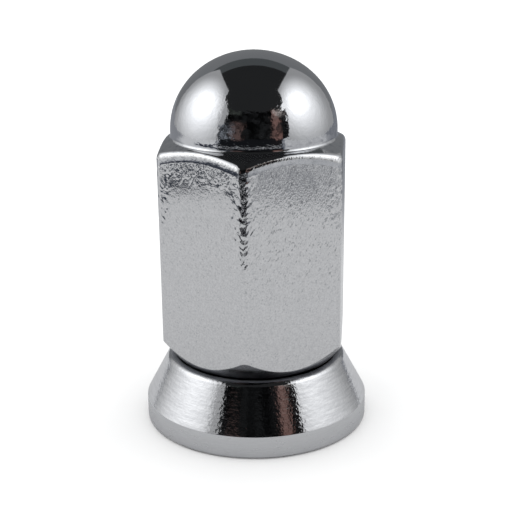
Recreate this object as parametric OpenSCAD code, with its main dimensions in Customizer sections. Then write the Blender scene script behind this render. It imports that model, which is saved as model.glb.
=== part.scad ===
// Closed-end (acorn) wheel nut in two pieces: a domed hexagon nut body, and a
// conical seat washer that is held on the nut's skirt and turns freely on it.
// Millimetres. +Z runs up the nut's axis, towards the dome. The origin is the
// centre of the washer's flat bottom face. A hexagon corner points along -Y.

/* [Hexagon] */
// Width across the flats of the hexagon
hex_af = 21; // [19:0.1:23]
// Radius of the rounded vertical edges of the hexagon
hex_edge_r = 1.2; // [0.8:0.1:1.6]
// Height of the middle of a flat's lower edge
hex_z0 = 9.2; // [9.1:0.05:9.35]
// Height of the middle of a flat's upper edge
hex_z1 = 34.45; // [30:0.05:35]
// Angle of the turned chamfer at the top of the hexagon, from the horizontal
chamfer_top = 27; // [20:1:35]
// Angle of the turned chamfer that is the nut's seat, from the horizontal
chamfer_bottom = 52; // [48:1:56]

/* [Dome] */
// Radius of the dome where it meets the shoulder
dome_r = 9.7; // [9:0.05:9.8]
// Height of the dome from its widest circle to its top
dome_h = 9; // [8.5:0.1:9.4]
// Height of the dome's widest circle
dome_z = 35.6; // [35.5:0.05:36]
// Radius of the hollow fillet round the foot of the dome
dome_fillet = 0.4; // [0.3:0.05:0.5]

/* [Thread] */
// Nominal diameter of the stud thread
thread_d = 14; // [12:1:14]
// Pitch of the stud thread
thread_pitch = 1.5; // [1.25:0.25:1.5]
// Height at which the blind bore's straight wall ends
bore_top = 31; // [26:0.5:32]
// Included angle of the drill point at the end of the bore
drill_angle = 118; // [90:1:130]
// Depth of the plain lead-in at the mouth of the bore
lead_in = 1.2; // [0.8:0.1:1.6]

/* [Skirt] */
// Outer radius of the skirt that the washer turns on
skirt_r = 8.25; // [8.1:0.05:8.3]
// Height of the skirt's lower end above the washer's bottom face
skirt_z0 = 0.6; // [0.4:0.1:0.8]
// Outer radius of the rolled lip that keeps the washer on
lip_r = 8.95; // [8.8:0.05:9.1]

/* [Washer] */
// Outer radius of the washer's rim
washer_r = 13.5; // [13:0.1:14]
// Height of the washer's upright rim
rim_h = 2.75; // [2:0.05:3.5]
// Overall height of the washer
washer_h = 8.2; // [8:0.05:8.4]
// Radius at which the washer's cone line meets the height of its top
washer_top_r = 10.57; // [10.55:0.01:10.7]
// Radius of the rounding between the washer's cone and its flat top
shoulder_r = 1; // [0.6:0.05:1]
// Radial running clearance between the skirt and the washer
clearance = 0.2; // [0.1:0.05:0.3]
// Radial gap between the nut's conical seat and the washer's
seat_gap = 0.14; // [0.1:0.02:0.2]

/* [Hidden] */
$fn = 128;
minor_r = thread_d / 2 - 0.5413 * thread_pitch;     // wall of the tapping bore
bore_r = skirt_r + clearance;                       // bore of the washer
nut_z0 = washer_h;                                  // turned below, hexagonal above
seat_r1 = hex_af / 2 - (hex_z0 - washer_h) / tan(chamfer_bottom) + seat_gap;   // mouth of the washer's seat

// Points of an arc about (cx, cy), from angle a0 to a1, in n steps.
function arc(cx, cy, r, a0, a1, n = 8) =
    [for (i = [0:n]) let (a = a0 + (a1 - a0) * i / n) [cx + r * cos(a), cy + r * sin(a)]];

// Upper chamfer line and lower chamfer line, as heights at a radius.
function top_z(r) = hex_z1 - (r - hex_af / 2) * tan(chamfer_top);
function bottom_z(r) = hex_z0 + (r - hex_af / 2) * tan(chamfer_bottom);

// Quarter of the dome's outline, from its widest circle to its top.
function dome_line(n = 40) =
    [for (i = [0:n]) let (a = 90 * i / n) [dome_r * cos(a), dome_z + dome_h * sin(a)]];

// Hexagonal bar with rounded edges, a corner along -Y.
module hex_bar(z0, z1) {
    translate([0, 0, z0])
        linear_extrude(z1 - z0)
            hex_outline();
}

// Outline of the hexagon, with a small tangent arc at each corner.
module hex_outline(n = 6) {
    r_in = hex_af / 2 - hex_edge_r;
    polygon([for (k = [0:5], i = [0:n]) let (c = 30 + 60 * k, a = c - 30 + 60 * i / n)
        [r_in / cos(30) * cos(c) + hex_edge_r * cos(a), r_in / cos(30) * sin(c) + hex_edge_r * sin(a)]]);
}

// Envelope turned on the bar: the lower chamfer is the seat, and runs in to the
// skirt; then the upper chamfer, the shoulder and the dome.
module turned_envelope() {
    big = hex_af * 0.62;
    neck = dome_r + dome_fillet;
    foot_z = top_z(neck);
    rotate_extrude()
        polygon(concat(
            [[0, skirt_z0 + 2.4], [skirt_r, skirt_z0 + 2.4]],
            [[skirt_r, bottom_z(skirt_r)], [big, bottom_z(big)], [big, top_z(big)]],
            [[neck + 0.25, top_z(neck + 0.25)]],
            arc(neck, foot_z + 0.1 + dome_fillet, dome_fillet, 270, 180),
            dome_line()
        ));
}

// Skirt below the seat, with the rolled lip at its end.
module skirt() {
    lip_z = skirt_z0 + 1.0;
    rotate_extrude()
        polygon(concat(
            [[0, skirt_z0]],
            arc(lip_r - 0.35, skirt_z0 + 0.35, 0.35, -90, 0),
            [[lip_r, lip_z - 0.2], [skirt_r + 0.12, lip_z + 0.55]],
            [[skirt_r, lip_z + 0.75], [skirt_r, skirt_z0 + 3], [0, skirt_z0 + 3]]
        ));
}

// Blind tapping bore with its drill point and plain lead-in.
module stud_bore() {
    cylinder(r = minor_r, h = bore_top);
    translate([0, 0, bore_top])
        cylinder(r1 = minor_r, r2 = 0, h = minor_r / tan(drill_angle / 2));
    translate([0, 0, skirt_z0 - 1])
        cylinder(r = thread_d / 2 + 0.2, h = 1 + lead_in);
    translate([0, 0, skirt_z0 + lead_in])
        cylinder(r1 = thread_d / 2 + 0.2, r2 = minor_r, h = thread_d / 2 + 0.2 - minor_r);
}

module nut_body() {
    color("silver")
        difference() {
            union() {
                intersection() {
                    turned_envelope();
                    union() {
                        hex_bar(nut_z0 - 0.01, hex_z1 + 0.01);
                        translate([0, 0, hex_z1]) cylinder(r = hex_af, h = 20);
                        cylinder(r = hex_af / 2, h = nut_z0);
                    }
                }
                skirt();
            }
            stud_bore();
        }
}

module swivel_washer() {
    color("gainsboro")
        rotate_extrude()
            polygon(concat(
                // relief under the washer, which the lip of the skirt sits in
                [[lip_r + 0.55, 0]],
                arc(washer_r - 0.35, 0.35, 0.35, -90, 0, 6),
                [[washer_r, rim_h - 0.12], [washer_r - 0.08, rim_h]],
                washer_shoulder(),
                // seat, parallel to the nut's chamfer, then the bore
                [[seat_r1, washer_h], [bore_r, bottom_z(bore_r - seat_gap)], [bore_r, skirt_z0 + 2.3]],
                [[lip_r + 0.55, skirt_z0 + 1.25]]
            ));
}

// Rounded shoulder from the washer's cone to its flat top.
function washer_shoulder(n = 8) =
    let (dx = washer_r - 0.08 - washer_top_r, dz = washer_h - rim_h, a = atan2(dx, dz),
         cx = washer_top_r - shoulder_r * tan((90 - a) / 2), cz = washer_h - shoulder_r)
    [for (i = [0:n]) let (t = a + (90 - a) * i / n) [cx + shoulder_r * cos(t), cz + shoulder_r * sin(t)]];

nut_body();
swivel_washer();
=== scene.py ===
"""Looks of the closed-end wheel nut and its swivel washer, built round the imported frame.

Lengths in the shape functions are millimetres; meshes are made in metres.
"""

import math

import bpy
from mathutils import Matrix, Vector


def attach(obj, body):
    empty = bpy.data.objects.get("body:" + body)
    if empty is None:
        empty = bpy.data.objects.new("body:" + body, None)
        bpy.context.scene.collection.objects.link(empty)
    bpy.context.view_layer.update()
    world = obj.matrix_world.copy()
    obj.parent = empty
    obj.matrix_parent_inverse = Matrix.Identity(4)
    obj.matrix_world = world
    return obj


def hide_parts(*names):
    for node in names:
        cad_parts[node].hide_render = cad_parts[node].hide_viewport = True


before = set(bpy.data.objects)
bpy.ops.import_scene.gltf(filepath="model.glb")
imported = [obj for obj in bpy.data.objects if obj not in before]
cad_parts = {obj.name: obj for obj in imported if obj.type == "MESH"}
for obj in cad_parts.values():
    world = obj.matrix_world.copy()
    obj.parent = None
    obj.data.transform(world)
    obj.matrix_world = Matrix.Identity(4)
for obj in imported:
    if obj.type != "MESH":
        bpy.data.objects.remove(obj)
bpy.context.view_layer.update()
MM = 0.001
scene = bpy.context.scene

# ---------------------------------------------------------------- dimensions, mm
AF = 21.0  # across the flats
EDGE_R = 1.2  # vertical edge rounding
HEX_Z0, HEX_Z1 = 9.2, 34.45  # mid-flat heights of the chamfer lines
TOP_A, BOT_A = math.radians(27), math.radians(52)
DOME_R, DOME_H, DOME_Z = 9.7, 9.0, 35.6
FOOT_R = 0.4
MINOR, MAJOR, PITCH = 6.188, 7.0, 1.5
BORE_TOP, LEAD = 31.0, 7.2
SKIRT_R, SKIRT_Z0, LIP_R = 8.25, 0.6, 8.95
RIM_R, RIM_H, WASHER_H = 13.5, 2.75, 8.2
TAU = 2 * math.pi


def arc(cx, cy, r, a0, a1, n):
    """n + 1 points of an arc, angles in degrees."""
    out = []
    for i in range(n + 1):
        a = math.radians(a0 + (a1 - a0) * i / n)
        out.append((cx + r * math.cos(a), cy + r * math.sin(a)))
    return out


def line(p, q, n, ends=(True, True)):
    pts = [(p[0] + (q[0] - p[0]) * i / n, p[1] + (q[1] - p[1]) * i / n) for i in range(n + 1)]
    return pts[0 if ends[0] else 1 : len(pts) if ends[1] else -1]


def fillet(p, c, q, r, n):
    """Points of the arc of radius r that rounds the corner c between p and q."""
    a = Vector((p[0] - c[0], p[1] - c[1])).normalized()
    b = Vector((q[0] - c[0], q[1] - c[1])).normalized()
    half = math.acos(max(-1.0, min(1.0, a.dot(b)))) / 2
    t = r / math.tan(half)
    m = (a + b).normalized() * (r / math.sin(half))
    o = Vector(c) + m
    s, e = Vector(c) + a * t - o, Vector(c) + b * t - o
    a0, a1 = math.atan2(s.y, s.x), math.atan2(e.y, e.x)
    while a1 - a0 > math.pi:
        a1 -= TAU
    while a0 - a1 > math.pi:
        a1 += TAU
    return [
        (o.x + r * math.cos(a0 + (a1 - a0) * i / n), o.y + r * math.sin(a0 + (a1 - a0) * i / n))
        for i in range(n + 1)
    ]


# ---------------------------------------------------------------- mesh building


class Shell:
    """A closed mesh made of rings; each ring is a list of vertex numbers in order of angle."""

    def __init__(self):
        self.verts, self.faces, self.mats = [], [], []

    def ring(self, pts):
        start = len(self.verts)
        self.verts += [(x * MM, y * MM, z * MM) for x, y, z in pts]
        return list(range(start, len(self.verts)))

    def point(self, p):
        self.verts.append(tuple(c * MM for c in p))
        return len(self.verts) - 1

    def skin(self, a, b, mat=0):
        n = len(a)
        for i in range(n):
            j = (i + 1) % n
            self.faces.append((a[i], b[i], b[j], a[j]))
            self.mats.append(mat)

    def fan(self, apex, ring, mat=0, flip=False):
        n = len(ring)
        for i in range(n):
            j = (i + 1) % n
            self.faces.append((apex, ring[j], ring[i]) if flip else (apex, ring[i], ring[j]))
            self.mats.append(mat)

    def stitch(self, a, aa, b, ab, mat=0):
        """Joins two rings of different counts; aa and ab are their angles, rising from the same start."""
        i = j = 0
        na, nb = len(a), len(b)
        while i < na or j < nb:
            ta = aa[i + 1] if i + 1 < na else aa[0] + TAU
            tb = ab[j + 1] if j + 1 < nb else ab[0] + TAU
            if j >= nb or (i < na and ta <= tb):
                self.faces.append((a[i], b[j % nb], a[(i + 1) % na]))
                i += 1
            else:
                self.faces.append((a[i % na], b[j], b[(j + 1) % nb]))
                j += 1
            self.mats.append(mat)

    def build(self, name, materials):
        me = bpy.data.meshes.new(name)
        me.from_pydata(self.verts, [], self.faces)
        for m in materials:
            me.materials.append(m)
        me.polygons.foreach_set("material_index", self.mats)
        me.polygons.foreach_set("use_smooth", [True] * len(self.faces))
        me.update()
        ob = bpy.data.objects.new(name, me)
        scene.collection.objects.link(ob)
        return ob


# ---------------------------------------------------------------- the nut's shape

R_IN = AF / 2 - EDGE_R
R_C = R_IN / math.cos(math.radians(30))


def hex_columns(flat_n=22, corner_n=12):
    """Angles round the hexagon and the bar's radius at each; a corner lies at -90 degrees."""
    cols = []
    half = math.atan2(EDGE_R * math.sin(math.radians(30)), R_C + EDGE_R * math.cos(math.radians(30)))
    for k in range(6):
        corner = math.radians(-90 + 60 * k)
        for i in range(corner_n + 1):
            a = math.radians(-30 + 60 * i / corner_n)
            x, y = R_C + EDGE_R * math.cos(a), EDGE_R * math.sin(a)
            cols.append((corner + math.atan2(y, x), math.hypot(x, y), 1 - abs(a) / math.radians(30)))
        for i in range(1, flat_n):
            d = half + (math.radians(60) - 2 * half) * i / flat_n
            cols.append((corner + d, AF / 2 / math.cos(d - math.radians(30)), 0.0))
    return cols


def nut_profile(r_hex, flatness):
    """Outline of the nut at one angle, from the dome's top down to where the skirt begins.

    Returns rows of (radius, height, material). Materials: 0 polished, 1 forged flats, 2 inside.
    """
    tan_t = math.tan(TOP_A)
    rows = []
    # dome, then the straight neck and the hollow fillet at its foot
    for i in range(1, 37):
        a = math.radians(90 - 90 * i / 36)
        rows.append((DOME_R * math.cos(a), DOME_Z + DOME_H * math.sin(a), 0))
    fx, fz = DOME_R + FOOT_R, 0
    end = (fx + FOOT_R * math.cos(math.radians(243)), 0)
    foot_z = HEX_Z1 - (end[0] - AF / 2) * tan_t
    fz = foot_z - FOOT_R * math.sin(math.radians(243))
    rows.append((DOME_R, (DOME_Z + fz) / 2, 0))
    rows += [(x, z, 0) for x, z in arc(fx, fz, FOOT_R, 180, 243, 7)]
    # shoulder, rounded over into the flat
    z_hi = HEX_Z1 - (r_hex - AF / 2) * tan_t
    z_lo = HEX_Z0 + (r_hex - AF / 2) * math.tan(BOT_A)
    t = min(1.0, (r_hex - AF / 2) / 1.44)
    rad = 0.66 + 0.45 * t
    over = fillet((end[0], foot_z), (r_hex, z_hi), (r_hex, z_lo), rad, 10)
    rows += [(x, z, 0) for x, z in line((end[0], foot_z), over[0], 9, (False, False))]
    rows += [(x, z, 0) for x, z in over]
    # the flat, then the lower chamfer, which is the seat and runs in to the skirt
    inner = (8.4, HEX_Z0 + (8.4 - AF / 2) * math.tan(BOT_A))
    low = fillet((r_hex, z_hi), (r_hex, z_lo), inner, 0.14 + 0.16 * t, 8)
    rows += [(x, z, 1) for x, z in line(over[-1], low[0], 44, (False, False))]
    rows += [(x, z, 1) for x, z in low[:-1]] + [(low[-1][0], low[-1][1], 3)]
    rows += [(x, z, 3) for x, z in line(low[-1], inner, 9, (False, True))]
    return rows


OVER_START = 36 + 1 + 8 + 8  # row at which the rounded top edge starts

SKIRT = (
    [(8.3, 6.35), (SKIRT_R, 6.22)]
    + [(SKIRT_R, 5.0), (SKIRT_R, 3.8), (SKIRT_R, 2.5), (8.3, 2.28), (8.45, 2.08)]
    + [(LIP_R - 0.12, 1.55), (LIP_R - 0.02, 1.4), (LIP_R, 1.2)]
    + [(x, z) for x, z in arc(LIP_R - 0.35, SKIRT_Z0 + 0.35, 0.35, 0, -90, 6)]
)


def thread_radius(theta, z):
    """Right-hand 60 degree thread with flat crests and rounded roots; it fades at both ends."""
    ph = (z / PITCH - theta / TAU) % 1.0
    v = abs(2 * ph - 1)  # 1 on the crest line, 0 at the root
    depth = min(1.0, max(0.0, (0.93 - v) / 0.74))
    depth = depth * (2 - depth) * 0.35 + depth * 0.65
    z_in = SKIRT_Z0 + 1.2
    fade = min(1.0, max(0.0, (z - z_in) / 1.0), max(0.0, (BORE_TOP - 0.6 - z) / 1.5))
    lead = max(0.0, LEAD - MINOR - (z - z_in)) if z < z_in + LEAD - MINOR else 0.0
    return max(MINOR + (MAJOR - MINOR) * depth * fade, MINOR + lead)


def build_nut(materials):
    s = Shell()
    cols = hex_columns()
    profiles = [nut_profile(r, f) for _, r, f in cols]
    count = len(profiles[0])
    top = s.point((0, 0, DOME_Z + DOME_H))
    rings = []
    for k in range(count):
        rings.append(
            s.ring([(p[k][0] * math.cos(c[0]), p[k][0] * math.sin(c[0]), p[k][1]) for p, c in zip(profiles, cols)])
        )
    s.fan(top, rings[0], 0)
    for k in range(count - 1):
        zone = profiles[0][k][2]
        s.skin(rings[k], rings[k + 1], zone)
        # at the corners the forged finish runs further up the rounded top edge
        over_row = k - OVER_START
        if 0 <= over_row < 10:
            for i, (_, _, f) in enumerate(cols):
                if over_row / 10 >= 0.5 - 0.15 * f:
                    s.mats[len(s.mats) - len(cols) + i] = 1
    last = rings[-1]
    for r, z in SKIRT:
        nxt = s.ring([(r * math.cos(c[0]), r * math.sin(c[0]), z) for c in cols])
        s.skin(last, nxt, 0)
        last = nxt
    # mouth of the bore, on its own even columns
    n = 120
    start = cols[0][0]
    angs = [start + TAU * i / n for i in range(n)]

    def even(rf, z):
        return s.ring([(rf(a) * math.cos(a), rf(a) * math.sin(a), z) for a in angs])

    mouth = even(lambda a: LEAD + 0.25, SKIRT_Z0)
    s.stitch(last, [c[0] for c in cols], mouth, angs, 2)
    for r, z in [(LEAD + 0.08, SKIRT_Z0 + 0.05), (LEAD, SKIRT_Z0 + 0.25), (LEAD, SKIRT_Z0 + 0.7)]:
        nxt = even(lambda a: r, z)
        s.skin(mouth, nxt, 2)
        mouth = nxt
    z = SKIRT_Z0 + 1.2
    step = PITCH / 12
    while z < BORE_TOP - 0.3:
        nxt = even(lambda a: thread_radius(a, z), z)
        s.skin(mouth, nxt, 2)
        mouth, z = nxt, z + step
    drill = MINOR / math.tan(math.radians(59))
    for k in (0.0, 0.35, 0.7, 0.93):
        nxt = even(lambda a: MINOR * (1 - k), BORE_TOP + drill * k)
        s.skin(mouth, nxt, 2)
        mouth = nxt
    s.fan(s.point((0, 0, BORE_TOP + drill)), mouth, 2, flip=True)
    return s.build("nut_shell", materials)


def washer_outline():
    """Closed outline of the washer, starting at the relief's mouth; (radius, height, material)."""
    top_r = 10.57
    pts = [(9.5, 0.12, 2), (9.58, 0.02, 2), (9.72, 0.0, 2)]
    pts += [(x, z, 1) for x, z in line((9.72, 0), (RIM_R - 0.32, 0), 4, (False, False))]
    pts += [(x, z, 1) for x, z in arc(RIM_R - 0.32, 0.32, 0.32, -90, 0, 7)]
    corner = fillet((RIM_R, 0.32), (RIM_R, RIM_H - 0.03), (top_r, WASHER_H), 0.16, 5)
    pts += [(x, z, 1) for x, z in line((RIM_R, 0.32), corner[0], 6, (False, False))]
    pts += [(x, z, 1) for x, z in corner[:3]] + [(x, z, 0) for x, z in corner[3:]]
    over = fillet(corner[-1], (top_r, WASHER_H), (9.3, WASHER_H), 1.0, 14)
    pts += [(x, z, 0) for x, z in line(corner[-1], over[0], 24, (False, False))]
    pts += [(x, z, 0) for x, z in over[:8]] + [(x, z, 3) for x, z in over[8:]]
    g, tb = 0.14, math.tan(BOT_A)
    seat = [(r, HEX_Z0 + (r - g - AF / 2) * tb) for r in (9.82, 9.6, 9.2, 8.8, 8.5)]
    pts += [(9.9, WASHER_H, 3), (9.855, 8.185, 3)] + [(r, z, 3) for r, z in seat]
    pts += [(8.45, 6.52, 2), (8.45, 5.4, 2), (8.45, 4.2, 2), (8.45, 3.05, 2), (8.5, 2.88, 2)]
    pts += [(9.3, 2.06, 2), (9.46, 1.88, 2), (9.5, 1.7, 2), (9.5, 0.9, 2)]
    return pts


def build_washer(materials):
    s = Shell()
    n = 256
    pts = washer_outline()
    rings = [s.ring([(r * math.cos(TAU * i / n), r * math.sin(TAU * i / n), z) for i in range(n)]) for r, z, _ in pts]
    for k in range(len(pts)):
        j = (k + 1) % len(pts)
        s.skin(rings[j], rings[k], pts[k][2])
    return s.build("washer_shell", materials)


# ---------------------------------------------------------------- materials


class Nodes:
    """Small helper for node trees."""

    def __init__(self, name, kind="material"):
        self.mat = bpy.data.materials.new(name)
        self.mat.use_nodes = True
        self.t = self.mat.node_tree
        self.t.nodes.clear()
        self.out = self.add("ShaderNodeOutputMaterial")

    def add(self, kind, **props):
        n = self.t.nodes.new(kind)
        for k, v in props.items():
            setattr(n, k, v)
        return n

    def link(self, a, b):
        self.t.links.new(a, b)

    def math(self, op, a, b=None, c=None, clamp=False):
        n = self.add("ShaderNodeMath", operation=op, use_clamp=clamp)
        for i, v in enumerate((a, b, c)):
            if v is None:
                continue
            if hasattr(v, "node"):
                self.link(v, n.inputs[i])
            else:
                n.inputs[i].default_value = v
        return n.outputs[0]

    def noise(self, vec, scale, detail=2.0, rough=0.5, distortion=0.0):
        n = self.add("ShaderNodeTexNoise")
        self.link(vec, n.inputs["Vector"])
        n.inputs["Scale"].default_value = scale
        n.inputs["Detail"].default_value = detail
        n.inputs["Roughness"].default_value = rough
        n.inputs["Distortion"].default_value = distortion
        return n.outputs["Fac"]

    def remap(self, v, a, b, c, d, smooth=False):
        n = self.add("ShaderNodeMapRange", clamp=True)
        n.interpolation_type = "SMOOTHSTEP" if smooth else "LINEAR"
        self.link(v, n.inputs["Value"])
        for k, x in zip(("From Min", "From Max", "To Min", "To Max"), (a, b, c, d)):
            n.inputs[k].default_value = x
        return n.outputs["Result"]

    def ramp(self, v, stops):
        n = self.add("ShaderNodeValToRGB")
        self.link(v, n.inputs["Fac"])
        cr = n.color_ramp
        while len(cr.elements) < len(stops):
            cr.elements.new(0.5)
        for e, (p, c) in zip(cr.elements, stops):
            e.position, e.color = p, (*c, 1.0)
        return n.outputs["Color"]

    def bump(self, height, strength, distance, normal=None):
        n = self.add("ShaderNodeBump")
        self.link(height, n.inputs["Height"])
        n.inputs["Strength"].default_value = strength
        n.inputs["Distance"].default_value = distance
        if normal is not None:
            self.link(normal, n.inputs["Normal"])
        return n.outputs["Normal"]

    def metal(self, color, rough, normal, spec=0.5):
        p = self.add("ShaderNodeBsdfPrincipled")
        p.inputs["Metallic"].default_value = 1.0
        if hasattr(color, "node"):
            self.link(color, p.inputs["Base Color"])
        else:
            p.inputs["Base Color"].default_value = (*color, 1.0)
        if hasattr(rough, "node"):
            self.link(rough, p.inputs["Roughness"])
        else:
            p.inputs["Roughness"].default_value = rough
        if normal is not None:
            self.link(normal, p.inputs["Normal"])
        self.link(p.outputs["BSDF"], self.out.inputs["Surface"])
        return p


def object_coords(m):
    tc = m.add("ShaderNodeTexCoord")
    return tc.outputs["Object"]


def polished_chrome():
    """Mirror chrome of the dome and shoulder: clear at the top, wavier towards the dome's foot."""
    m = Nodes("chrome_polished")
    co = object_coords(m)
    sep = m.add("ShaderNodeSeparateXYZ")
    m.link(co, sep.inputs[0])
    low = m.remap(sep.outputs["Z"], 0.0400, 0.0418, 1.0, 0.0, smooth=True)
    high = m.remap(sep.outputs["Z"], 0.0350, 0.0356, 0.42, 1.0, smooth=True)
    wave = m.noise(co, 1500, 2.5, 0.55, 0.3)
    broad = m.noise(co, 260, 2.0, 0.5)
    amp = m.math("MULTIPLY_ADD", m.math("MULTIPLY", low, high), 0.9, 0.06)
    h1 = m.math("MULTIPLY", wave, amp)
    n1 = m.bump(h1, 1.0, 0.000020)
    n2 = m.bump(broad, 1.0, 0.000010, n1)
    pits = m.noise(co, 3800, 2.0, 0.6)
    rough = m.remap(pits, 0.3, 0.75, 0.04, 0.08)
    tone = m.noise(co, 180, 3.0, 0.55)
    # faint mottling on the shoulder, below the dome's foot
    foot = m.remap(sep.outputs["Z"], 0.0350, 0.0356, 1.0, 0.0, smooth=True)
    mottle = m.math("MULTIPLY", m.math("SUBTRACT", m.noise(co, 1300, 3.0, 0.65), 0.55), foot)
    tone = m.math("MULTIPLY_ADD", mottle, 2.2, tone)
    color = m.ramp(tone, [(0.0, (0.5, 0.51, 0.53)), (0.25, (0.66, 0.67, 0.69)), (0.75, (0.73, 0.735, 0.75))])
    m.metal(color, rough, n2)
    return m.mat


def forged_chrome():
    """Chrome over the forged flats: fine grain, a few pits, and slanting strokes off the vertical edges.

    The grain is deeper over the top third of the flats, and most of all on the left of them.
    """
    m = Nodes("chrome_forged")
    co = object_coords(m)
    sep = m.add("ShaderNodeSeparateXYZ")
    m.link(co, sep.inputs[0])
    x, y, z = sep.outputs
    out = m.math("SQRT", m.math("ADD", m.math("MULTIPLY", x, x), m.math("MULTIPLY", y, y)))
    edge = m.remap(out, 0.0110, 0.0117, 0.0, 1.0, smooth=True)
    wide_edge = m.remap(out, 0.01065, 0.0115, 0.0, 1.0, smooth=True)
    left = m.remap(x, -0.001, 0.001, 1.0, 0.0, smooth=True)
    upper = m.remap(m.math("MULTIPLY_ADD", left, -0.0055, z), 0.021, 0.031, 0.0, 1.0, smooth=True)
    # slanting strokes that run down towards the front and back edges from both sides
    ax = m.math("ABSOLUTE", x)
    slant = m.add("ShaderNodeCombineXYZ")
    m.link(m.math("ADD", m.math("MULTIPLY", ax, 0.3), m.math("MULTIPLY", z, 0.34)), slant.inputs["X"])
    m.link(m.math("SUBTRACT", m.math("MULTIPLY", ax, 0.95), m.math("MULTIPLY", z, 0.62)), slant.inputs["Y"])
    m.link(m.math("MULTIPLY_ADD", x, 0.5, m.math("MULTIPLY", y, 0.25)), slant.inputs["Z"])
    stroke = m.noise(slant.outputs[0], 4300, 1.0, 0.5, 0.3)
    bold = m.noise(slant.outputs[0], 2300, 0.4, 0.5, 0.25)
    patch = m.remap(m.noise(co, 190, 2.0, 0.5), 0.4, 0.62, 0.15, 1.0, smooth=True)
    peel = m.noise(co, 4900, 1.0, 0.5)
    fleck = m.noise(co, 3100, 0.6, 0.5, 0.4)
    grain = m.noise(co, 8500, 1.0, 0.5)
    blob = m.noise(co, 900, 1.0, 0.5, 0.5)
    # depth of each layer over the face
    amp = m.math("MULTIPLY_ADD", m.math("MULTIPLY", upper, m.math("SUBTRACT", 1.0, left)), 0.35, 0.2)
    top_z = m.math("MULTIPLY_ADD", blob, 0.004, z)
    amp_fleck = m.math("MULTIPLY", left, m.remap(top_z, 0.0329, 0.0349, 0.06, 1.0, smooth=True))
    amp = m.math("MULTIPLY", amp, m.math("MULTIPLY_ADD", edge, -0.7, 1.0))
    amp_stroke = m.math("MULTIPLY_ADD", wide_edge, 0.6, m.math("MULTIPLY", patch, 0.8))
    amp_stroke = m.math("MULTIPLY", amp_stroke, m.math("MULTIPLY_ADD", edge, -0.6, 1.0))
    amp_stroke = m.math("MULTIPLY", amp_stroke, m.math("MULTIPLY_ADD", left, -0.4, 1.0))
    amp_stroke = m.math("MULTIPLY", amp_stroke, m.math("MULTIPLY_ADD", upper, 1.0, 0.3))
    pits = m.remap(m.noise(co, 3300, 1.0, 0.5), 0.2, 0.28, 1.0, 0.0, smooth=True)
    low_edge = m.math("MULTIPLY", edge, m.remap(z, 0.0235, 0.0262, 0.2, 1.0, smooth=True))
    bold_edge = m.math("MULTIPLY", m.remap(out, 0.01135, 0.01185, 0.0, 1.0), m.remap(z, 0.0195, 0.0262, 0.14, 1.0, smooth=True))
    n0 = m.bump(m.math("MULTIPLY", blob, low_edge), 1.0, 0.000070)
    n0 = m.bump(m.math("MULTIPLY", bold, bold_edge), 1.0, 0.000060, n0)
    n0 = m.bump(m.math("MULTIPLY", fleck, amp_fleck), 1.0, 0.000040, n0)
    n1 = m.bump(m.math("MULTIPLY", peel, amp), 1.0, 0.000013, n0)
    n2 = m.bump(m.math("MULTIPLY", stroke, amp_stroke), 1.0, 0.000016, n1)
    n3 = m.bump(m.math("MULTIPLY_ADD", pits, -1.0, grain), 1.0, 0.0000022, n2)
    rough = m.remap(grain, 0.3, 0.7, 0.045, 0.085)
    tone = m.math("MULTIPLY_ADD", pits, -0.28, m.math("MULTIPLY_ADD", m.math("SUBTRACT", grain, peel), 0.35, peel))
    # the strokes also show as fine dull dashes, fewer towards the bottom and on the left
    dash = m.math("MULTIPLY", m.remap(stroke, 0.57, 0.7, 0.0, 1.0, smooth=True), m.remap(z, 0.014, 0.028, 0.3, 1.0, smooth=True))
    dash = m.math("MULTIPLY", dash, m.math("MULTIPLY_ADD", left, -0.55, 1.0))
    tone = m.math("MULTIPLY_ADD", dash, -0.34, tone)
    color = m.ramp(tone, [(0.1, (0.36, 0.36, 0.37)), (0.36, (0.62, 0.625, 0.63)), (0.64, (0.765, 0.765, 0.77))])
    m.metal(color, rough, n3)
    return m.mat


def turned(name, lines, waves, rough_lo, rough_hi, c_lo, c_hi, line_k=9000.0):
    """Chrome over turned metal: fine lines round the axis and slight waves that break up reflections."""
    m = Nodes(name)
    co = object_coords(m)
    sep = m.add("ShaderNodeSeparateXYZ")
    m.link(co, sep.inputs[0])
    flat = m.add("ShaderNodeCombineXYZ")
    m.link(sep.outputs["X"], flat.inputs["X"])
    m.link(sep.outputs["Y"], flat.inputs["Y"])
    unit = m.add("ShaderNodeVectorMath", operation="NORMALIZE")
    m.link(flat.outputs[0], unit.inputs[0])
    around = m.add("ShaderNodeSeparateXYZ")
    m.link(unit.outputs[0], around.inputs[0])
    ring = m.add("ShaderNodeCombineXYZ")
    m.link(m.math("MULTIPLY", around.outputs["X"], 5.0), ring.inputs["X"])
    m.link(m.math("MULTIPLY", around.outputs["Y"], 5.0), ring.inputs["Y"])
    m.link(m.math("MULTIPLY", sep.outputs["Z"], line_k), ring.inputs["Z"])
    groove = m.noise(ring.outputs[0], 1.0, 3.0, 0.65)
    peel = m.noise(co, 2300, 2.0, 0.55, 0.3)
    n1 = m.bump(groove, 1.0, lines)
    n2 = m.bump(peel, 1.0, waves, n1)
    rough = m.remap(groove, 0.3, 0.7, rough_lo, rough_hi)
    color = m.ramp(groove, [(0.3, c_lo), (0.7, c_hi)])
    m.metal(color, rough, n2)
    return m.mat


def bore_steel():
    """Inside of the bore and under the washer, where plating is thin and dull."""
    m = Nodes("chrome_thin")
    co = object_coords(m)
    stain = m.noise(co, 330, 4.0, 0.6)
    grain = m.noise(co, 4200, 2.0, 0.6)
    n1 = m.bump(grain, 1.0, 0.000005)
    rough = m.remap(stain, 0.3, 0.7, 0.28, 0.45)
    color = m.ramp(stain, [(0.3, (0.36, 0.35, 0.34)), (0.7, (0.56, 0.56, 0.57))])
    m.metal(color, rough, n1)
    return m.mat


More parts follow.
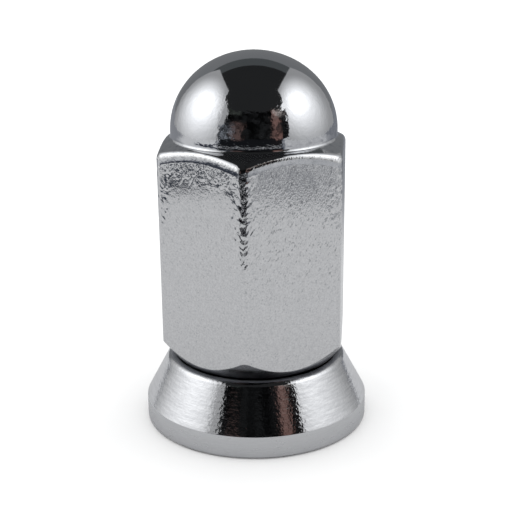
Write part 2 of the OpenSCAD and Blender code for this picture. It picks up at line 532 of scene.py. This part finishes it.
def seat_painted_shade(name, lo, hi, rough_mid):
    """The two seat surfaces, turned and thinly plated; their dark colour is painted shade between the nut and the
    washer.
    """
    m = Nodes(name)
    co = object_coords(m)
    stain = m.noise(co, 420, 3.0, 0.6)
    grain = m.noise(co, 5200, 2.0, 0.6)
    n1 = m.bump(grain, 1.0, 0.000003)
    rough = m.remap(stain, 0.3, 0.7, rough_mid - 0.06, rough_mid + 0.06)
    # the dark base colour is painted shade in the gap between the nut and the washer; the stain noise varies it
    color = m.ramp(stain, [(0.3, (lo, lo * 1.03, lo * 1.09)), (0.7, (hi, hi * 1.02, hi * 1.08))])
    m.metal(color, rough, n1)
    return m.mat


# ---------------------------------------------------------------- pieces

# the nut's seat material is darkened with painted shade between the nut and the washer
polished, forged, inside, seat_mat = polished_chrome(), forged_chrome(), bore_steel(), seat_painted_shade("nut_seat_painted_shade", 0.15, 0.25, 0.2)
cone_mat = turned("chrome_turned_cone", 0.0000055, 0.000020, 0.03, 0.07, (0.62, 0.625, 0.64), (0.79, 0.795, 0.805), 4200.0)
rim_mat = turned("chrome_turned_rim", 0.000002, 0.000006, 0.26, 0.36, (0.73, 0.735, 0.745), (0.79, 0.795, 0.805), 6000.0)

nut = build_nut([polished, forged, inside, seat_mat])
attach(nut, "nut")
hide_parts("nut_body")

# the washer's seat material is darkened with painted shade under the nut
washer = build_washer([cone_mat, rim_mat, inside, seat_painted_shade("washer_seat", 0.4, 0.5, 0.4)])
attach(washer, "washer")
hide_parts("swivel_washer")

# ---------------------------------------------------------------- studio
# The cards are only seen in reflections; the floor and backdrop are only seen by the camera.
D = 0.25
EYE = 0.036  # height of the dome's middle


def see(ob, camera=False, glossy=False, diffuse=False, shadow=False):
    ob.visible_camera = camera
    ob.visible_glossy = glossy
    ob.visible_diffuse = diffuse
    ob.visible_shadow = shadow
    ob.visible_transmission = camera
    ob.visible_volume_scatter = False


def sheet(name, corners, mat):
    me = bpy.data.meshes.new(name)
    me.from_pydata(corners, [], [tuple(range(len(corners)))])
    me.materials.append(mat)
    me.update()
    ob = bpy.data.objects.new(name, me)
    scene.collection.objects.link(ob)
    return ob


def glow(name, color, strength, centre=None, radius=0.1, hot=0.0):
    """Emission; with a soft brighter spot where centre is given."""
    m = Nodes(name)
    e = m.add("ShaderNodeEmission")
    e.inputs["Color"].default_value = (*color, 1.0)
    if centre is None:
        e.inputs["Strength"].default_value = strength
    else:
        tc = m.add("ShaderNodeTexCoord")
        mp = m.add("ShaderNodeMapping", vector_type="TEXTURE")
        mp.inputs["Location"].default_value = centre
        mp.inputs["Scale"].default_value = (radius, radius, radius)
        m.link(tc.outputs["Object"], mp.inputs["Vector"])
        g = m.add("ShaderNodeTexGradient", gradient_type="QUADRATIC_SPHERE")
        m.link(mp.outputs["Vector"], g.inputs["Vector"])
        m.link(m.math("MULTIPLY_ADD", g.outputs["Fac"], hot, strength), e.inputs["Strength"])
    m.link(e.outputs[0], m.out.inputs["Surface"])
    return m.mat


COOL = (0.975, 0.985, 1.0)
rot = Matrix.Rotation(math.radians(6.164), 4, "Z")  # the studio faces the camera


def P(x, y, z):
    return tuple(rot @ Vector((x, y, z)))


left_ext = sheet(
    "card_left_dim",
    [P(-D, -0.290, 0.16), P(-D, -0.300, 0.31), P(-D, -0.165, EYE + 0.36), P(-D, -0.2, 0.1)],
    glow("light_left_dim", COOL, 0.42),
)
see(left_ext, glossy=True)
left = sheet(
    "card_left",
    [P(-D, -0.225, -0.002), P(-D, -0.212, EYE + 0.27), P(-D, -0.165, EYE + 0.36), P(-D, -0.08, EYE + 0.49), P(-D, 0.36, EYE + 0.45), P(-D, 0.30, -0.002)],
    glow("light_left", COOL, 0.38, P(-D, -0.01, EYE + 0.165), 0.34, 2.1),
)
see(left, glossy=True)
right = sheet(
    "card_right",
    [P(D, 0.30, -0.002), P(D, 0.43, EYE + 0.40), P(D, -0.095, EYE + 0.50), P(D, -0.183, EYE + 0.27), P(D, -0.218, EYE + 0.15), P(D, -0.24, -0.002)],
    glow("light_right", COOL, 0.36, P(D, -0.045, EYE + 0.197), 0.34, 2.0),
)
see(right, glossy=True)
right_mid = sheet(
    "card_right_mid",
    [P(D - 0.001, -0.16, 0.272), P(D - 0.001, -0.16, 0.36), P(D - 0.001, -0.238, 0.345), P(D - 0.001, -0.243, 0.278)],
    glow("light_right_mid", COOL, 1.15),
)
see(right_mid, glossy=True)
ceiling = sheet(
    "card_ceiling",
    [P(-0.8, -0.9, EYE + 0.5), P(-0.8, 0.27, EYE + 0.5), P(0.8, 0.27, EYE + 0.5), P(0.8, -0.9, EYE + 0.5)],
    glow("dark_ceiling", (0.92, 0.96, 1.0), 0.021),
)
see(ceiling, glossy=True)
ceiling_back = sheet(
    "card_ceiling_back",
    [P(-0.8, 0.27, EYE + 0.501), P(-0.8, 0.52, EYE + 0.501), P(0.8, 0.52, EYE + 0.501), P(0.8, 0.27, EYE + 0.501)],
    glow("dim_ceiling", (0.88, 0.96, 1.0), 0.085),
)
see(ceiling_back, glossy=True)


def blot(m, u, v, u0, u1, v0, v1, soft_u, soft_v):
    """1 inside a box of u and v, falling to 0 over the soft widths."""
    w = None
    for c, lo, hi, e in ((u, u0, u1, soft_u), (v, v0, v1, soft_v)):
        for k in (m.remap(c, lo - e, lo + e, 0.0, 1.0), m.remap(c, hi - e, hi + e, 1.0, 0.0)):
            w = k if w is None else m.math("MULTIPLY", w, k)
    return w


def front_mat():
    """Dark room in front: a warm patch and a pale one low on each side, a green-grey one on the left."""
    m = Nodes("room_front")
    tc = m.add("ShaderNodeTexCoord")
    mp = m.add("ShaderNodeMapping", vector_type="TEXTURE")
    mp.inputs["Rotation"].default_value = (0, 0, math.radians(6.164))
    m.link(tc.outputs["Object"], mp.inputs["Vector"])
    co = mp.outputs["Vector"]
    sep = m.add("ShaderNodeSeparateXYZ")
    m.link(co, sep.inputs[0])
    cloud = m.noise(co, 9, 4.0, 0.62, 0.6)
    wob = m.math("MULTIPLY_ADD", cloud, 0.9, -0.45)
    az = m.math("ADD", m.math("ARCTAN2", sep.outputs["X"], m.math("MULTIPLY", sep.outputs["Y"], -1.0)), m.math("MULTIPLY", wob, 0.4))
    z = m.math("ADD", sep.outputs["Z"], m.math("MULTIPLY", wob, 0.35))
    d = math.radians
    holes = m.remap(m.noise(co, 22, 3.0, 0.6), 0.38, 0.56, 0.25, 1.0, smooth=True)
    warm_r = m.math("MULTIPLY", blot(m, az, z, d(26.5), d(36.5), -0.4, 0.66, 0.03, 0.05), holes)
    pale_r = m.math("MULTIPLY", blot(m, az, z, d(30), d(47), 0.38, 0.60, 0.05, 0.05), m.remap(holes, 0.5, 0.95, 1.0, 0.1))
    warm_l = m.math("MULTIPLY", blot(m, az, z, d(-33), d(-17), -0.4, 0.28, 0.05, 0.05), holes)
    pale_l = m.math("MULTIPLY", blot(m, az, z, d(-50), d(-30), -0.4, 0.24, 0.05, 0.05), m.remap(holes, 0.4, 0.95, 1.0, 0.1))
    green = blot(m, az, z, d(-41), d(-19), 0.45, 1.2, 0.04, 0.06)
    haze = m.remap(cloud, 0.42, 0.7, 0.002, 0.02)
    total = None
    for w, col in (
        (warm_r, (0.2, 0.115, 0.1)),
        (pale_r, (0.42, 0.38, 0.36)),
        (warm_l, (0.10, 0.065, 0.06)),
        (pale_l, (0.19, 0.205, 0.23)),
        (green, (0.03, 0.035, 0.03)),
        (haze, (0.9, 0.95, 1.0)),
    ):
        n = m.add("ShaderNodeVectorMath", operation="SCALE")
        n.inputs[0].default_value = col
        m.link(w, n.inputs["Scale"])
        if total is None:
            total = n.outputs[0]
        else:
            plus = m.add("ShaderNodeVectorMath", operation="ADD")
            m.link(total, plus.inputs[0])
            m.link(n.outputs[0], plus.inputs[1])
            total = plus.outputs[0]
    e = m.add("ShaderNodeEmission")
    m.link(total, e.inputs["Color"])
    e.inputs["Strength"].default_value = 1.0
    m.link(e.outputs[0], m.out.inputs["Surface"])
    return m.mat


def front_card():
    """Dark curved card in front."""
    R, n = 0.62, 60
    verts, faces = [], []
    for i in range(n + 1):
        az = math.radians(-62 + (72 + 62) * i / n)
        for z in (-0.3, 0.9):
            verts.append(P(R * math.sin(az), -R * math.cos(az), z))
        if i < n:
            faces.append((2 * i, 2 * i + 1, 2 * i + 3, 2 * i + 2))
    me = bpy.data.meshes.new("card_front")
    me.from_pydata(verts, [], faces)
    me.materials.append(front_mat())
    me.update()
    ob = bpy.data.objects.new("card_front", me)
    scene.collection.objects.link(ob)
    return ob


see(front_card(), glossy=True)


def table_mirror_mat():
    """The table top as the chrome reflects it: white near and beside the nut, black in front, grey behind."""
    m = Nodes("table_reflected")
    tc = m.add("ShaderNodeTexCoord")
    mp = m.add("ShaderNodeMapping", vector_type="TEXTURE")
    mp.inputs["Rotation"].default_value = (0, 0, math.radians(6.164))
    m.link(tc.outputs["Object"], mp.inputs["Vector"])
    sep = m.add("ShaderNodeSeparateXYZ")
    m.link(mp.outputs["Vector"], sep.inputs[0])
    x, y = sep.outputs["X"], sep.outputs["Y"]
    az = m.math("ARCTAN2", x, m.math("MULTIPLY", y, -1.0))
    cloud = m.noise(mp.outputs["Vector"], 45, 3.0, 0.6)
    az = m.math("MULTIPLY_ADD", cloud, 0.25, m.math("ADD", az, -0.125))
    dist = m.math("SQRT", m.math("ADD", m.math("MULTIPLY", x, x), m.math("MULTIPLY", y, y)))
    disc = m.remap(dist, 0.084, 0.088, 1.0, 0.0, smooth=True)
    side = m.math(
        "MAXIMUM",
        m.remap(az, math.radians(37), math.radians(43), 0.0, 1.0),
        m.remap(az, math.radians(-52), math.radians(-46), 1.0, 0.0),
    )
    # nearer than 0.13 m the dark front is narrow
    near = m.math(
        "MAXIMUM",
        m.remap(az, math.radians(22), math.radians(27), 0.0, 1.0),
        m.remap(az, math.radians(-41), math.radians(-36), 1.0, 0.0),
    )
    side = m.math("MAXIMUM", side, m.math("MULTIPLY", near, m.remap(dist, 0.124, 0.138, 1.0, 0.0)))
    strip = m.math(
        "MAXIMUM",
        m.remap(x, -0.125, -0.119, 0.0, 1.0, smooth=True),
        m.remap(x, -0.175, -0.151, 1.0, 0.0, smooth=True),
    )
    strip = m.math("MAXIMUM", strip, 0.06)
    back_left = m.remap(y, -0.035, 0.0, 0.0, 1.0, smooth=True)
    strip = m.math("MAXIMUM", strip, back_left)
    k = m.math("MAXIMUM", disc, m.math("MULTIPLY", side, strip))
    # lighter bands across the dark front: one seen low on the near edge, one at the dome's foot
    ring_a = blot(m, dist, az, 0.106, 0.114, -2.0, 2.0, 0.002, 0.1)
    ring_b = blot(m, dist, az, 0.1595, 0.1670, -0.95, 0.75, 0.0006, 0.1)
    k = m.math("MAXIMUM", k, m.math("MULTIPLY", ring_a, 0.95))
    k = m.math("MAXIMUM", k, m.math("MULTIPLY", ring_b, m.remap(cloud, 0.3, 0.6, 0.3, 1.0)))
    far_right = m.math("MULTIPLY", m.remap(x, 0.05, 0.07, 0.0, 1.0), m.remap(dist, 0.115, 0.125, 0.0, 1.0, smooth=True))
    far_right = m.math("MULTIPLY", far_right, m.remap(dist, 0.158, 0.166, 1.0, 0.55))
    k = m.math("MULTIPLY", k, m.math("SUBTRACT", 1.0, m.math("MULTIPLY", far_right, m.remap(cloud, 0.35, 0.65, 0.68, 0.05))))
    k = m.math("MULTIPLY", k, m.remap(y, 0.05, 0.115, 1.0, 0.42, smooth=True))
    # the rim's own contact shadow
    k = m.math("MULTIPLY", k, m.remap(dist, 0.0135, 0.0175, 0.93, 1.0, smooth=True))
    d = m.add("ShaderNodeBsdfDiffuse")
    col = m.ramp(k, [(0.0, (0.003, 0.0034, 0.004)), (0.12, (0.022, 0.026, 0.036)), (1.0, (0.24, 0.242, 0.246))])
    m.link(col, d.inputs["Color"])
    warm = m.add("ShaderNodeMix", data_type="RGBA")
    m.link(blot(m, az, dist, 0.42, 0.66, 0.175, 2.0, 0.04, 0.02), warm.inputs["Factor"])
    m.link(col, warm.inputs["A"])
    warm.inputs["B"].default_value = (0.085, 0.05, 0.043, 1.0)
    e = m.add("ShaderNodeEmission")
    m.link(warm.outputs["Result"], e.inputs["Color"])
    e.inputs["Strength"].default_value = 0.05
    both = m.add("ShaderNodeAddShader")
    m.link(d.outputs[0], both.inputs[0])
    m.link(e.outputs[0], both.inputs[1])
    # open under the washer, so that its underside isn't black when it is looked at from below
    hole = m.add("ShaderNodeBsdfTransparent")
    mix = m.add("ShaderNodeMixShader")
    m.link(m.math("GREATER_THAN", dist, 0.0131), mix.inputs["Fac"])
    m.link(hole.outputs[0], mix.inputs[1])
    m.link(both.outputs[0], mix.inputs[2])
    m.link(mix.outputs[0], m.out.inputs["Surface"])
    return m.mat


table = sheet("card_table", [(-1.5, -1.5, -0.00005), (1.5, -1.5, -0.00005), (1.5, 1.5, -0.00005), (-1.5, 1.5, -0.00005)], table_mirror_mat())
see(table, glossy=True)


def floor_mat():
    """Plain pale floor, see-through from below."""
    m = Nodes("floor_white")
    d = m.add("ShaderNodeBsdfDiffuse")
    tc = m.add("ShaderNodeTexCoord")
    fine = m.noise(tc.outputs["Object"], 40, 2.0)
    m.link(m.ramp(fine, [(0.3, (0.452, 0.452, 0.452)), (0.7, (0.46, 0.46, 0.46))]), d.inputs["Color"])
    tr = m.add("ShaderNodeBsdfTransparent")
    geo = m.add("ShaderNodeNewGeometry")
    mix = m.add("ShaderNodeMixShader")
    m.link(geo.outputs["Backfacing"], mix.inputs["Fac"])
    m.link(d.outputs[0], mix.inputs[1])
    m.link(tr.outputs[0], mix.inputs[2])
    m.link(mix.outputs[0], m.out.inputs["Surface"])
    return m.mat


floor = sheet("floor", [(-1.2, -1.2, -0.0001), (1.2, -1.2, -0.0001), (1.2, 1.2, -0.0001), (-1.2, 1.2, -0.0001)], floor_mat())
see(floor, camera=True, diffuse=True, shadow=True)

bpy.ops.mesh.primitive_uv_sphere_add(segments=48, ring_count=24, radius=1.25)
backdrop = bpy.context.object
backdrop.name = backdrop.data.name = "backdrop"
backdrop.data.materials.append(glow("backdrop_white", (1, 1, 1), 1.0))
see(backdrop, camera=True)

sun = bpy.data.objects.new("overhead", bpy.data.lights.new("overhead", "SUN"))
sun.data.energy = 7.8
sun.data.angle = math.radians(165)
sun.visible_glossy = False
scene.collection.objects.link(sun)

world = bpy.data.worlds.new("room")
world.use_nodes = True
world.node_tree.nodes["Background"].inputs["Color"].default_value = (0.93, 0.96, 1.0, 1.0)
world.node_tree.nodes["Background"].inputs["Strength"].default_value = 0.2
scene.world = world

# ---------------------------------------------------------------- camera
EL, ROLL = math.radians(17.996), math.radians(0.553)
right_v = Vector((1, 0, 0))
up_v = Vector((0, math.sin(EL), math.cos(EL)))
fwd = Vector((0, math.cos(EL), -math.sin(EL)))
r2 = math.cos(ROLL) * right_v - math.sin(ROLL) * up_v
u2 = math.sin(ROLL) * right_v + math.cos(ROLL) * up_v
pos = Vector((0, 0, 0)) + r2 * -0.0755 + u2 * 19.0475 - fwd * 140.276
cam_data = bpy.data.cameras.new("camera")
cam_data.sensor_width = 36.0
cam_data.lens = 1114.9 / 512 * 36.0
cam_data.clip_start, cam_data.clip_end = 0.005, 10.0
cam = bpy.data.objects.new("camera", cam_data)
axes = Matrix((r2, u2, -fwd)).transposed().to_4x4()
cam.matrix_world = rot @ Matrix.Translation(pos * MM) @ axes
scene.collection.objects.link(cam)
scene.camera = cam

scene.view_settings.view_transform = "Standard"
scene.view_settings.look = "None"
